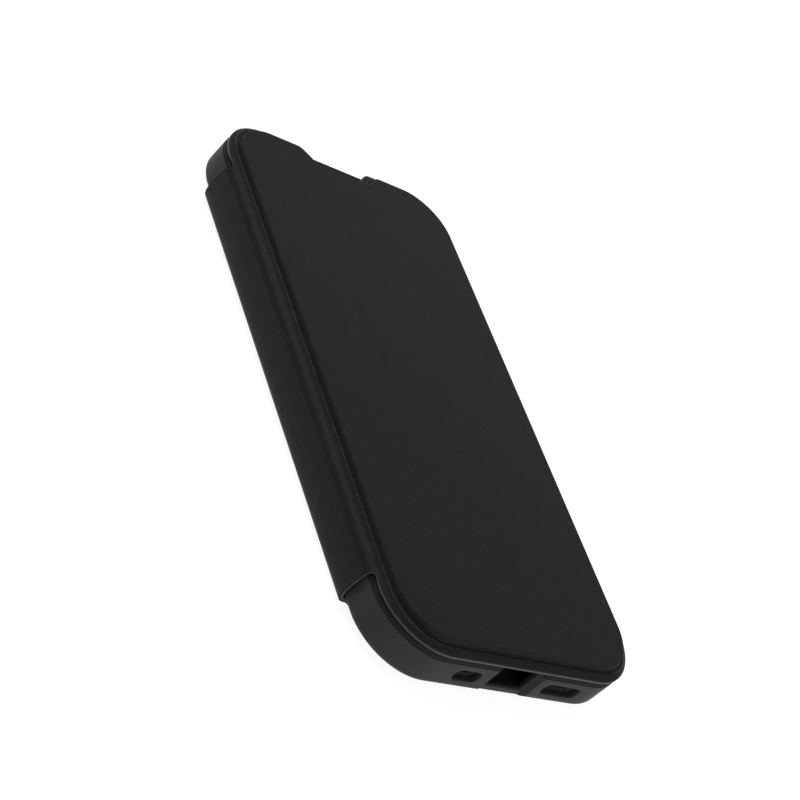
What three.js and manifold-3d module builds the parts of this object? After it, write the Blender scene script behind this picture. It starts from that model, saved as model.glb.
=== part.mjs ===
// Folio wallet case for a phone: a moulded tray, a wrapped spine and a hinged cover with card pockets.
// Units are millimetres. The case lies on its back: +Z points out of the cover, +Y to the earpiece end,
// and the spine is on the -X side. The design below is centred on the phone; the whole group is then
// moved sideways so that the origin is the centre of the base.
import * as THREE from 'three';
import { mergeVertices } from 'three/addons/utils/BufferGeometryUtils.js';
import Module from 'manifold-3d';

const wasm = await Module();
wasm.setup();

// ---------------------------------------------------------------- driving dimensions
// The phone that the tray is made for.
const PHONE_HALF_WIDTH = 35.75;
const PHONE_HALF_LENGTH = 73.35;
const PHONE_THICKNESS = 7.65;
const PHONE_CORNER = 12;
const PHONE_SLACK = 0.2;
const GLASS_SLACK = 0.1;

// Outside of the tray.
const TRAY_HALF_WIDTH = 38.3;
const TRAY_HALF_LENGTH = 75.9;
const TRAY_CORNER = 15.2;
const BACK_EDGE_RADIUS = 2;
const SHELL_WALL = 1.35;
const RIM_CHAMFER = 0.2;
const FIT_GAP = 0.1;
const GLUE_GAP = 0.05;
const CUT_MARGIN = 1;

// Sheet thicknesses, and the levels that they stack up to.
const SKIN = 0.4;
const BACK_BOARD = 0.4;
const ADHESIVE = 0.17;
const SHELL_BACK_Z = 1.1;
const FLOOR_Z = 2.3;
const PAD_THICKNESS = 0.35;
const PAD_INSET = 6;
const RIM_Z = 9.4;
const LIP_TOP_Z = 10.85;
const LIP_INSET = 0.35;
const LIP_WIDTH = 1.45;
const LIP_OVER_GLASS = 1.3;
const LINING_Z = 10.9;
const LINING = 0.55;
const FLANGE_Z = 11.9;
const PANEL_Z = 13.8;
const COVER_BOARD = 1.1;
const COVER_BOARD_INSET = 0.35;
const COVER_PAD_INSET = 0.6;

// Cover: the raised panel's outline, and the flange that runs round it.
const PANEL_HALF_WIDTH = 35.6;
const PANEL_HALF_LENGTH = 73.44;
const PANEL_CORNER = 12.6;
const PANEL_EDGE = 0.15;
const SKIN_SLACK = 0.3;
const FLANGE_MARGIN = 2.5;
const CHANNEL_MARGIN = 0.4;
const CHANNEL_Z = 12.35;
const RIDGE_MARGIN = 1.4;
const RIDGE_RISE = 0.05;
const NOTCH_HALF_TOP = 14.2;
const NOTCH_HALF_BOTTOM = 7.65;
const NOTCH_DEPTH = 4.6;
const NOTCH_SHIFT = 0.44;

// Spine and its two folds.
const SPINE_OUTER_X = -39.7;
const SPINE_HALF_LENGTH = 57.65;
const WRAP_THICKNESS = 0.95;
const SPINE_SKIN = 0.35;
const SPINE_STIFFENER = 0.2;
const STIFFENER_INSET = 1.65;
const SPINE_LINING = 0.3;
const FOLD_RADIUS = 3.2;
const FOLD_GAP = 0.3;

// Back panel and camera opening.
const BACK_RIGHT_X = 33.6;
const BACK_HALF_LENGTH = 71;
const BACK_CORNER = 11;
const BACK_SHOULDER = 2.2;
const BACK_BOARD_INSET = 0.5;
const ADHESIVE_INSET = 1.5;
const CAMERA_X = 15.4;
const CAMERA_Y = 52.6;
const CAMERA_HALF = 18.6;
const CAMERA_CORNER = 9.5;
const BEZEL_WALL = 0.9;
const BEZEL_FLANGE = 1.5;
const BEZEL_LOW_Z = 0.15;

// Openings in the bottom end.
const OPENING_Z = 5.95;
const SLOT_HEIGHT = 3.4;
const SLOT_CORNER = 1.35;
const MICROPHONE_SLOT = [-17.85, -10.4];
const SPEAKER_SLOT = [9.8, 21.1];
const PORT_HALF_WIDTH = 7.15;
const PORT_INNER_HALF_WIDTH = 5.75;
const PORT_RECESS_DEPTH = 1.1;
const PORT_LEDGE_Z = 3.1;
const PORT_BEVEL = 0.45;

// Buttons, each with its place along the side, and the ring switch's window.
const BUTTON_HEIGHT = 3.4;
const BUTTON_CLEARANCE = 0.3;
const BUTTON_CORNER = 1.4;
const VOLUME_LENGTH = 9.6;
const VOLUME_UP_Y = 26.8;
const VOLUME_DOWN_Y = 12.8;
const VOLUME_PROUD = 0.12;
const SIDE_LENGTH = 15.6;
const SIDE_BUTTON_Y = 20;
const SIDE_PROUD = 0.6;
const BUTTON_INNER_INSET = 1.75;
const RING_WINDOW_Y = 41.6;
const RING_WINDOW_LENGTH = 9;
const RING_WINDOW_HEIGHT = 4.8;

// Magnets of the latch.
const MAGNET_Y = [44, -34];
const MAGNET_LENGTH = 12;
const TRAY_MAGNET = { thickness: 0.6, height: 3.6, z: 6.1 };
const COVER_MAGNET = { width: 4, thickness: 0.8, x: 31 };

// Card pockets inside the cover.
const POCKET_HALF_WIDTH = 31;
const POCKET_LOW_Y = -67;
const POCKET_SHEET = 0.17;
const POCKETS = [
  { name: 'card_pocket_upper', topY: 26, topZ: 10.85 },
  { name: 'card_pocket_lower', topY: -4, topZ: 10.64 },
];
const POCKET_CORNER = 4;
const THUMB_NOTCH_RADIUS = 9;
const THUMB_NOTCH_RISE = 2;

// Smoothness.
const CORNER_STEPS = 10;
const EDGE_STEPS = 4;
const FOLD_STEPS = 8;
const NOTCH_STEPS = 8;

// ---------------------------------------------------------------- materials
function matte(colour, roughness) {
  return new THREE.MeshStandardMaterial({ color: colour, roughness, metalness: 0 });
}

const MATERIALS = {
  shell: matte(0x3a3b3c, 0.5),
  bumper: matte(0x2b2c2d, 0.7),
  skin: matte(0x232324, 0.8),
  lining: matte(0x464c52, 0.9),
  board: matte(0x6e675c, 0.9),
  foam: matte(0x8a8a88, 1.0),
  adhesive: matte(0xb9b19c, 0.6),
  magnet: new THREE.MeshStandardMaterial({ color: 0x9a9c9f, roughness: 0.35, metalness: 1 }),
};

// ---------------------------------------------------------------- outlines (counter-clockwise from above)
function arc(points, centreX, centreY, radius, fromAngle, toAngle, steps) {
  for (let i = 0; i <= steps; i += 1) {
    const angle = fromAngle + ((toAngle - fromAngle) * i) / steps;
    points.push(new THREE.Vector2(centreX + radius * Math.cos(angle), centreY + radius * Math.sin(angle)));
  }
}

function roundedRectangle(halfWidth, halfLength, radius, steps = CORNER_STEPS) {
  const points = [];
  const x = halfWidth - radius;
  const y = halfLength - radius;
  arc(points, x, -y, radius, -Math.PI / 2, 0, steps);
  arc(points, x, y, radius, 0, Math.PI / 2, steps);
  arc(points, -x, y, radius, Math.PI / 2, Math.PI, steps);
  arc(points, -x, -y, radius, Math.PI, 1.5 * Math.PI, steps);
  return points;
}

function trayOutline(inset) {
  return roundedRectangle(TRAY_HALF_WIDTH - inset, TRAY_HALF_LENGTH - inset, TRAY_CORNER - inset);
}

function phoneOutline(growth) {
  return roundedRectangle(PHONE_HALF_WIDTH + growth, PHONE_HALF_LENGTH + growth, PHONE_CORNER + growth);
}

// The cover's outline at a distance outside the raised panel, with the earpiece notch in its top edge.
function coverOutline(margin) {
  const points = [];
  const radius = PANEL_CORNER + margin;
  const x = PANEL_HALF_WIDTH + margin - radius;
  const y = PANEL_HALF_LENGTH + margin - radius;
  const top = PANEL_HALF_LENGTH + margin;
  const notchWidth = NOTCH_HALF_TOP - NOTCH_HALF_BOTTOM;
  const notchInner = NOTCH_HALF_BOTTOM - NOTCH_SHIFT * margin;
  arc(points, x, -y, radius, -Math.PI / 2, 0, CORNER_STEPS);
  arc(points, x, y, radius, 0, Math.PI / 2, CORNER_STEPS);
  for (const side of [1, -1]) {
    for (let i = 0; i <= NOTCH_STEPS; i += 1) {
      const along = side > 0 ? 1 - i / NOTCH_STEPS : i / NOTCH_STEPS;
      const drop = (NOTCH_DEPTH * (1 + Math.cos(Math.PI * along))) / 2;
      points.push(new THREE.Vector2(side * (notchInner + notchWidth * along), top - drop));
    }
  }
  arc(points, -x, y, radius, Math.PI / 2, Math.PI, CORNER_STEPS);
  arc(points, -x, -y, radius, Math.PI, 1.5 * Math.PI, CORNER_STEPS);
  return points;
}

// ---------------------------------------------------------------- solids
// A closed body through sections that all have the same number of points, from the lowest to the highest.
function loft(sections) {
  const count = sections[0].outline.length;
  const positions = [];
  for (const { outline, z } of sections) {
    outline.forEach((point) => positions.push(point.x, point.y, z));
  }
  const index = [];
  for (let row = 0; row < sections.length - 1; row += 1) {
    for (let i = 0; i < count; i += 1) {
      const a = row * count + i;
      const b = row * count + ((i + 1) % count);
      index.push(a, b, b + count);
      index.push(a, b + count, a + count);
    }
  }
  const last = (sections.length - 1) * count;
  for (const [a, b, c] of THREE.ShapeUtils.triangulateShape(sections[0].outline, [])) {
    index.push(a, c, b);
  }
  for (const [a, b, c] of THREE.ShapeUtils.triangulateShape(sections[sections.length - 1].outline, [])) {
    index.push(last + a, last + b, last + c);
  }
  const geometry = new THREE.BufferGeometry();
  geometry.setAttribute('position', new THREE.Float32BufferAttribute(positions, 3));
  geometry.setIndex(index);
  return solid(geometry);
}

function solid(geometry) {
  const bare = geometry.clone();
  bare.deleteAttribute('normal');
  bare.deleteAttribute('uv');
  const merged = mergeVertices(bare, 1e-5);
  const vertProperties = new Float32Array(merged.attributes.position.array);
  const triVerts = new Uint32Array(merged.index.array);
  return new wasm.Manifold(new wasm.Mesh({ numProp: 3, vertProperties, triVerts }));
}

function toGeometry(manifold) {
  const mesh = manifold.getMesh();
  const geometry = new THREE.BufferGeometry();
  geometry.setAttribute('position', new THREE.BufferAttribute(new Float32Array(mesh.vertProperties), 3));
  geometry.setIndex(new THREE.BufferAttribute(new Uint32Array(mesh.triVerts), 1));
  geometry.computeVertexNormals();
  return geometry;
}

function slab(outline, lowZ, highZ) {
  return loft([{ outline, z: lowZ }, { outline, z: highZ }]);
}

function block([lowX, highX], [lowY, highY], [lowZ, highZ]) {
  const geometry = new THREE.BoxGeometry(highX - lowX, highY - lowY, highZ - lowZ);
  geometry.translate((lowX + highX) / 2, (lowY + highY) / 2, (lowZ + highZ) / 2);
  return solid(geometry);
}

// A bar with rounded long edges that lies across a side wall, along X.
function crossBar(lowX, highX, centreY, centreZ, length, height, radius) {
  const outline = roundedRectangle(length / 2, height / 2, radius, EDGE_STEPS);
  const shape = new THREE.Shape(outline);
  const geometry = new THREE.ExtrudeGeometry(shape, { depth: highX - lowX, bevelEnabled: false });
  geometry.rotateX(Math.PI / 2);
  geometry.rotateZ(Math.PI / 2);
  geometry.translate(lowX, centreY, centreZ);
  return solid(geometry);
}

// The same bar across an end wall, along Y.
function endBar([lowX, highX], lowY, highY, centreZ, height, radius) {
  const outline = roundedRectangle((highX - lowX) / 2, height / 2, radius, EDGE_STEPS);
  const geometry = new THREE.ExtrudeGeometry(new THREE.Shape(outline), {
    depth: highY - lowY,
    bevelEnabled: false,
  });
  geometry.rotateX(Math.PI / 2);
  geometry.translate((lowX + highX) / 2, highY, centreZ);
  return solid(geometry);
}

// ---------------------------------------------------------------- cutters shared by the shell and the bumper
const BEYOND = 4;

function portCutter() {
  const outerY = -TRAY_HALF_LENGTH;
  const floorY = outerY + PORT_RECESS_DEPTH;
  const innerTopY = floorY + PORT_BEVEL;
  const recess = [
    new THREE.Vector2(-PORT_HALF_WIDTH, outerY - BEYOND),
    new THREE.Vector2(PORT_HALF_WIDTH, outerY - BEYOND),
    new THREE.Vector2(PORT_HALF_WIDTH, outerY),
    new THREE.Vector2(PORT_INNER_HALF_WIDTH + PORT_BEVEL, floorY),
    new THREE.Vector2(-PORT_INNER_HALF_WIDTH - PORT_BEVEL, floorY),
    new THREE.Vector2(-PORT_HALF_WIDTH, outerY),
  ];
  const throat = [
    new THREE.Vector2(-PORT_INNER_HALF_WIDTH - PORT_BEVEL, floorY - GLUE_GAP),
    new THREE.Vector2(PORT_INNER_HALF_WIDTH + PORT_BEVEL, floorY - GLUE_GAP),
    new THREE.Vector2(PORT_INNER_HALF_WIDTH, innerTopY),
    new THREE.Vector2(PORT_INNER_HALF_WIDTH, outerY + BEYOND),
    new THREE.Vector2(-PORT_INNER_HALF_WIDTH, outerY + BEYOND),
    new THREE.Vector2(-PORT_INNER_HALF_WIDTH, innerTopY),
  ];
  const wide = slab(recess, SHELL_BACK_Z - BEYOND, LIP_TOP_Z + BEYOND);
  const narrow = slab(throat, PORT_LEDGE_Z, LIP_TOP_Z + BEYOND);
  return wide.add(narrow);
}

function endSlotCutter(span) {
  const outerY = -TRAY_HALF_LENGTH;
  return endBar(span, outerY - BEYOND, outerY + BEYOND, OPENING_Z, SLOT_HEIGHT, SLOT_CORNER);
}

function windowCutter(side, centreY, length, height) {
  const outer = TRAY_HALF_WIDTH + BEYOND;
  const inner = PHONE_HALF_WIDTH - CUT_MARGIN;
  const [lowX, highX] = side < 0 ? [-outer, -inner] : [inner, outer];
  return crossBar(lowX, highX, centreY, OPENING_Z, length, height, BUTTON_CORNER);
}

function wallOpenings() {
  const grow = 2 * BUTTON_CLEARANCE;
  return [
    portCutter(),
    endSlotCutter(MICROPHONE_SLOT),
    endSlotCutter(SPEAKER_SLOT),
    windowCutter(-1, VOLUME_UP_Y, VOLUME_LENGTH + grow, BUTTON_HEIGHT + grow),
    windowCutter(-1, VOLUME_DOWN_Y, VOLUME_LENGTH + grow, BUTTON_HEIGHT + grow),
    windowCutter(-1, RING_WINDOW_Y, RING_WINDOW_LENGTH, RING_WINDOW_HEIGHT),
    windowCutter(1, SIDE_BUTTON_Y, SIDE_LENGTH + grow, BUTTON_HEIGHT + grow),
  ];
}

function cameraOutline(growth) {
  const outline = roundedRectangle(CAMERA_HALF + growth, CAMERA_HALF + growth, CAMERA_CORNER + growth);
  outline.forEach((point) => point.add(new THREE.Vector2(CAMERA_X, CAMERA_Y)));
  return outline;
}

function cutAll(body, cutters) {
  return cutters.reduce((rest, cutter) => rest.subtract(cutter), body);
}

// ---------------------------------------------------------------- tray
function outerShell() {
  const sections = [];
  for (let i = 0; i <= EDGE_STEPS; i += 1) {
    const angle = (Math.PI / 2) * (i / EDGE_STEPS);
    sections.push({
      outline: trayOutline(BACK_EDGE_RADIUS * (1 - Math.sin(angle))),
      z: SHELL_BACK_Z + BACK_EDGE_RADIUS * (1 - Math.cos(angle)),
    });
  }
  sections.push({ outline: trayOutline(0), z: RIM_Z - RIM_CHAMFER });
  sections.push({ outline: trayOutline(RIM_CHAMFER), z: RIM_Z });
  const magnetPockets = MAGNET_Y.map((y) => {
    const inner = TRAY_HALF_WIDTH - SHELL_WALL - FIT_GAP;
    const outer = TRAY_HALF_WIDTH - SHELL_WALL + TRAY_MAGNET.thickness + FIT_GAP;
    const half = MAGNET_LENGTH / 2 + FIT_GAP;
    const halfHeight = TRAY_MAGNET.height / 2 + FIT_GAP;
    const { z } = TRAY_MAGNET;
    return block([inner, outer], [y - half, y + half], [z - halfHeight, z + halfHeight]);
  });
  return cutAll(loft(sections), [
    slab(trayOutline(SHELL_WALL), FLOOR_Z, RIM_Z + BEYOND),
    slab(phoneOutline(-PAD_INSET), FLOOR_Z - PAD_THICKNESS - GLUE_GAP, FLOOR_Z + CUT_MARGIN),
    slab(cameraOutline(0), SHELL_BACK_Z - BEYOND, FLOOR_Z + BEYOND),
    ...magnetPockets,
    ...wallOpenings(),
  ]);
}

function screenBumper() {
  const wallInset = SHELL_WALL + FIT_GAP;
  const lipLow = RIM_Z + FIT_GAP;
  const sections = [
    { outline: trayOutline(wallInset), z: FLOOR_Z + GLUE_GAP },
    { outline: trayOutline(wallInset), z: lipLow },
  ];
  for (let i = 0; i <= EDGE_STEPS; i += 1) {
    const angle = (Math.PI / 2) * (i / EDGE_STEPS);
    sections.push({
      outline: trayOutline(LIP_INSET + LIP_WIDTH * (1 - Math.cos(angle))),
      z: lipLow + (LIP_TOP_Z - lipLow) * Math.sin(angle),
    });
  }
  const glassZ = FLOOR_Z + PHONE_THICKNESS + GLASS_SLACK;
  return cutAll(loft(sections), [
    slab(phoneOutline(PHONE_SLACK), FLOOR_Z - CUT_MARGIN, glassZ),
    slab(phoneOutline(-LIP_OVER_GLASS), FLOOR_Z - CUT_MARGIN, LIP_TOP_Z + CUT_MARGIN),
    ...wallOpenings(),
  ]);
}

function trayPad() {
  const pad = slab(phoneOutline(-PAD_INSET - FIT_GAP), FLOOR_Z - PAD_THICKNESS, FLOOR_Z);
  return pad.subtract(slab(cameraOutline(BEZEL_WALL), 0, FLOOR_Z + CUT_MARGIN));
}

function cameraBezel() {
  const collar = slab(cameraOutline(-FIT_GAP), BEZEL_LOW_Z, FLOOR_Z);
  const flange = slab(cameraOutline(BEZEL_FLANGE), BEZEL_LOW_Z, SHELL_BACK_Z - FIT_GAP);
  const hole = slab(cameraOutline(-BEZEL_WALL), BEZEL_LOW_Z - CUT_MARGIN, FLOOR_Z + CUT_MARGIN);
  return collar.add(flange).subtract(hole);
}

function trayMagnet(y) {
  const inner = TRAY_HALF_WIDTH - SHELL_WALL;
  const half = MAGNET_LENGTH / 2;
  const halfHeight = TRAY_MAGNET.height / 2;
  return block(
    [inner, inner + TRAY_MAGNET.thickness],
    [y - half, y + half],
    [TRAY_MAGNET.z - halfHeight, TRAY_MAGNET.z + halfHeight],
  );
}

function button(side, centreY, length, proud) {
  const outer = TRAY_HALF_WIDTH + proud;
  const inner = TRAY_HALF_WIDTH - BUTTON_INNER_INSET;
  const [lowX, highX] = side < 0 ? [-outer, -inner] : [inner, outer];
  return crossBar(lowX, highX, centreY, OPENING_Z, length, BUTTON_HEIGHT, BUTTON_CORNER - BUTTON_CLEARANCE);
}

// ---------------------------------------------------------------- back panel
const FOLD_CENTRE_X = SPINE_OUTER_X + FOLD_RADIUS;

// The back panel's outline: rounded at its corners, with shoulders that keep the ends of its fold side
// under the tray.
function backOutline(inset) {
  const points = [];
  const radius = BACK_CORNER - inset;
  const right = BACK_RIGHT_X - inset;
  const end = BACK_HALF_LENGTH - inset;
  const left = FOLD_CENTRE_X + FOLD_GAP / 2;
  const leftCentre = left + BACK_SHOULDER + BACK_CORNER;
  arc(points, right - radius, -end + radius, radius, -Math.PI / 2, 0, CORNER_STEPS);
  arc(points, right - radius, end - radius, radius, 0, Math.PI / 2, CORNER_STEPS);
  arc(points, leftCentre, end - radius, radius, Math.PI / 2, Math.PI, CORNER_STEPS);
  points.push(new THREE.Vector2(left, SPINE_HALF_LENGTH));
  points.push(new THREE.Vector2(left, -SPINE_HALF_LENGTH));
  arc(points, leftCentre, -end + radius, radius, Math.PI, 1.5 * Math.PI, CORNER_STEPS);
  return points;
}

function backSheet(inset, lowZ, thickness) {
  const edge = cameraOutline(BEZEL_FLANGE + BUTTON_CLEARANCE);
  const hole = slab(edge, lowZ - CUT_MARGIN, lowZ + thickness + CUT_MARGIN);
  return slab(backOutline(inset), lowZ, lowZ + thickness).subtract(hole);
}

// ---------------------------------------------------------------- spine and folds
function spineSheet(depth, thickness, inset = 0) {
  const low = FOLD_RADIUS + FOLD_GAP;
  const high = FLANGE_Z - FOLD_RADIUS - FOLD_GAP;
  const x = SPINE_OUTER_X + depth;
  const end = SPINE_HALF_LENGTH - inset;
  return block([x, x + thickness], [-end, end], [low, high]);
}

// A quarter-round strip of the wrap between two flat stretches.
function crease(centreZ, fromAngle) {
  const profile = [];
  const trim = FOLD_GAP / FOLD_RADIUS;
  const inner = FOLD_RADIUS - WRAP_THICKNESS;
  const toAngle = fromAngle + Math.PI / 2;
  arc(profile, FOLD_CENTRE_X, centreZ, FOLD_RADIUS, fromAngle + trim, toAngle - trim, FOLD_STEPS);
  arc(profile, FOLD_CENTRE_X, centreZ, inner, toAngle - trim, fromAngle + trim, FOLD_STEPS);
  const geometry = new THREE.ExtrudeGeometry(new THREE.Shape(profile), {
    depth: 2 * SPINE_HALF_LENGTH,
    bevelEnabled: false,
  });
  geometry.rotateX(Math.PI / 2);
  geometry.translate(0, SPINE_HALF_LENGTH, 0);
  return solid(geometry);
}

// ---------------------------------------------------------------- cover
// Clears the fold's place along the straight part of the cover's spine side.
function foldClearance() {
  const end = SPINE_HALF_LENGTH + FOLD_GAP;
  return block([SPINE_OUTER_X - BEYOND, FOLD_CENTRE_X + FOLD_GAP], [-end, end], [0, PANEL_Z + BEYOND]);
}

function coverSkin() {
  const skinLow = LINING_Z + LINING + GLUE_GAP;
  const body = loft([
    { outline: coverOutline(FLANGE_MARGIN), z: skinLow },
    { outline: coverOutline(FLANGE_MARGIN), z: FLANGE_Z },
    { outline: coverOutline(RIDGE_MARGIN), z: CHANNEL_Z + RIDGE_RISE },
    { outline: coverOutline(CHANNEL_MARGIN), z: CHANNEL_Z },
    { outline: coverOutline(PANEL_EDGE), z: PANEL_Z - PANEL_EDGE },
    { outline: coverOutline(-PANEL_EDGE), z: PANEL_Z },
  ]);
  const hollow = slab(coverOutline(-SKIN_SLACK), skinLow - CUT_MARGIN, PANEL_Z - SKIN);
  return cutAll(body, [hollow, foldClearance()]);
}

function coverLining() {
  return slab(coverOutline(FLANGE_MARGIN - GLUE_GAP), LINING_Z, LINING_Z + LINING).subtract(foldClearance());
}

const BOARD_LOW_Z = LINING_Z + LINING + GLUE_GAP;

function coverMagnetBlock(y, growth) {
  const half = MAGNET_LENGTH / 2 + growth;
  const halfWidth = COVER_MAGNET.width / 2 + growth;
  return block(
    [COVER_MAGNET.x - halfWidth, COVER_MAGNET.x + halfWidth],
    [y - half, y + half],
    [BOARD_LOW_Z - growth, BOARD_LOW_Z + COVER_MAGNET.thickness + growth],
  );
}

function coverBoard() {
  const board = slab(coverOutline(-COVER_BOARD_INSET), BOARD_LOW_Z, BOARD_LOW_Z + COVER_BOARD);
  return cutAll(board, MAGNET_Y.map((y) => coverMagnetBlock(y, FIT_GAP)));
}

function coverPad() {
  const low = BOARD_LOW_Z + COVER_BOARD + GLUE_GAP;
  return slab(coverOutline(-COVER_PAD_INSET), low, PANEL_Z - SKIN - GLUE_GAP);
}

function cardPocket({ topY, topZ }) {
  const midY = (topY + POCKET_LOW_Y) / 2;
  const halfLength = (topY - POCKET_LOW_Y) / 2;
  const outline = roundedRectangle(POCKET_HALF_WIDTH, halfLength, POCKET_CORNER, EDGE_STEPS);
  outline.forEach((point) => point.add(new THREE.Vector2(0, midY)));
  const thumb = roundedRectangle(THUMB_NOTCH_RADIUS, THUMB_NOTCH_RADIUS, THUMB_NOTCH_RADIUS, EDGE_STEPS);
  thumb.forEach((point) => point.add(new THREE.Vector2(0, topY + THUMB_NOTCH_RISE)));
  const sheet = slab(outline, topZ - POCKET_SHEET, topZ);
  return sheet.subtract(slab(thumb, topZ - CUT_MARGIN, topZ + CUT_MARGIN));
}

// ---------------------------------------------------------------- assembly
const phoneCase = new THREE.Group();
const rightmost = TRAY_HALF_WIDTH + SIDE_PROUD;
phoneCase.position.x = -(SPINE_OUTER_X + rightmost) / 2;

function add(name, body, material) {
  const mesh = new THREE.Mesh(toGeometry(body), MATERIALS[material]);
  mesh.name = name;
  phoneCase.add(mesh);
}

add('outer_shell', outerShell(), 'shell');
add('screen_bumper', screenBumper(), 'bumper');
add('tray_pad', trayPad(), 'lining');
add('camera_bezel', cameraBezel(), 'shell');
add('tray_magnet_upper', trayMagnet(MAGNET_Y[0]), 'magnet');
add('tray_magnet_lower', trayMagnet(MAGNET_Y[1]), 'magnet');
add('volume_up_button', button(-1, VOLUME_UP_Y, VOLUME_LENGTH, VOLUME_PROUD), 'bumper');
add('volume_down_button', button(-1, VOLUME_DOWN_Y, VOLUME_LENGTH, VOLUME_PROUD), 'bumper');
add('side_button', button(1, SIDE_BUTTON_Y, SIDE_LENGTH, SIDE_PROUD), 'bumper');

add('back_skin', backSheet(0, 0, SKIN), 'skin');
add('back_board', backSheet(BACK_BOARD_INSET, SKIN + GLUE_GAP, BACK_BOARD), 'board');
add('back_adhesive', backSheet(ADHESIVE_INSET, SKIN + BACK_BOARD + 2 * GLUE_GAP, ADHESIVE), 'adhesive');

add('rear_crease', crease(FOLD_RADIUS, Math.PI), 'skin');
const stiffenerDepth = SPINE_SKIN + GLUE_GAP;
const spineLiningDepth = stiffenerDepth + SPINE_STIFFENER + GLUE_GAP;
add('spine_skin', spineSheet(0, SPINE_SKIN), 'skin');
add('spine_stiffener', spineSheet(stiffenerDepth, SPINE_STIFFENER, STIFFENER_INSET), 'board');
add('spine_lining', spineSheet(spineLiningDepth, SPINE_LINING), 'lining');
add('front_crease', crease(FLANGE_Z - FOLD_RADIUS, Math.PI / 2), 'skin');

add('cover_skin', coverSkin(), 'skin');
add('cover_pad', coverPad(), 'foam');
add('cover_board', coverBoard(), 'board');
add('cover_magnet_upper', coverMagnetBlock(MAGNET_Y[0], 0), 'magnet');
add('cover_magnet_lower', coverMagnetBlock(MAGNET_Y[1], 0), 'magnet');
add('cover_lining', coverLining(), 'lining');
for (const pocket of POCKETS) {
  add(pocket.name, cardPocket(pocket), 'skin');
}

export default phoneCase;
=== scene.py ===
"""Folio wallet case for a phone: the visual model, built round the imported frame.

Lengths are millimetres in the case's own design frame, which is centred on the phone, until place()
turns them into metres in the row frame.
"""
import math

import bmesh
import bpy
import numpy as np
from mathutils import Matrix, Vector


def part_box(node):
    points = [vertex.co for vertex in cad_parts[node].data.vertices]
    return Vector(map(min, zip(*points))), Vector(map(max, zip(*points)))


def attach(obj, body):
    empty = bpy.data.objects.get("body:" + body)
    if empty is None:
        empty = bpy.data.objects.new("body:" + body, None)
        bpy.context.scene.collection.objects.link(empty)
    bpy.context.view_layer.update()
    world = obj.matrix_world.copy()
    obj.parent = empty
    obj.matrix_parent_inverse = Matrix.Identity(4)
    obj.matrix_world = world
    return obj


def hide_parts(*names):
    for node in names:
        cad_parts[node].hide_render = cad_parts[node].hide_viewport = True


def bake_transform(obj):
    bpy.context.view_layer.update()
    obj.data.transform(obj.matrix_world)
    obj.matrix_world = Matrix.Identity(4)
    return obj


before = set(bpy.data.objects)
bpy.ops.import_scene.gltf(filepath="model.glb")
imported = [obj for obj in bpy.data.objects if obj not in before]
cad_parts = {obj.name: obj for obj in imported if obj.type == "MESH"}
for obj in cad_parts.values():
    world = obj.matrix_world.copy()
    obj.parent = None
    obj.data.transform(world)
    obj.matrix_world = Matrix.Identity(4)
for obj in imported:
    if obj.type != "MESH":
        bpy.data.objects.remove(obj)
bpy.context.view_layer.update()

MM = 0.001

# -- driving dimensions, read from the frame
def node_span(node):
    """A CAD node's lowest and highest corner, in millimetres in the row frame."""
    low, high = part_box(node)
    return np.array(low) / MM, np.array(high) / MM


SHELL_LOW, SHELL_HIGH = node_span("outer_shell")
ORIGIN = np.array(((SHELL_LOW[0] + SHELL_HIGH[0]) / 2, 0.0, 0.0))


def span(node):
    """The same in the design frame."""
    return [corner - ORIGIN for corner in node_span(node)]


TRAY_HALF_WIDTH = (SHELL_HIGH[0] - SHELL_LOW[0]) / 2
TRAY_HALF_LENGTH = SHELL_HIGH[1]
SHELL_BACK_Z = SHELL_LOW[2]
RIM_Z = SHELL_HIGH[2]
LIP_TOP_Z = span("screen_bumper")[1][2]
LINING_LOW_Z, LINING_TOP_Z = (span("cover_lining")[i][2] for i in (0, 1))
FLANGE_HALF_WIDTH, FLANGE_HALF_LENGTH = span("cover_skin")[1][:2]
SPINE_X = span("spine_skin")[0][0]
SPINE_HALF_LENGTH = span("spine_skin")[1][1]
PAD_LOW_Z, PAD_TOP_Z = (span("tray_pad")[i][2] for i in (0, 1))
BACK_LEFT_X, BACK_RIGHT_X = (span("back_skin")[i][0] for i in (0, 1))
BACK_HALF_LENGTH = span("back_skin")[1][1]
BOARD_TOP_Z = span("back_board")[1][2]
STIFFENER_HALF_LENGTH = span("spine_stiffener")[1][1]
BEZEL_LOW, BEZEL_HIGH = span("camera_bezel")

# The tray.
TRAY_CORNER = 15.2
BACK_EDGE_RADIUS = 2.0
SHELL_WALL = 1.35
RIM_ROUND = 0.08
RIM_SEAM = 0.03
PHONE_HALF_WIDTH = 35.75
PHONE_HALF_LENGTH = 73.35
PHONE_CORNER = 12.0
PHONE_SLACK = 0.2
GLASS_Z = 10.05
LIP_INSET = 0.14
LIP_WIDTH = 1.6
LIP_OVER_GLASS = 1.3
FIT_GAP = 0.1
PAD_INSET = 6.0
PAD_EDGE = 0.12

# The camera opening and its collar.
BEZEL_FLANGE = 1.5
BEZEL_WALL = 0.9
CAMERA_CORNER = 9.5
CAMERA_CENTRE = (BEZEL_LOW[:2] + BEZEL_HIGH[:2]) / 2
CAMERA_HALF = (BEZEL_HIGH[0] - BEZEL_LOW[0]) / 2 - BEZEL_FLANGE

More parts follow.
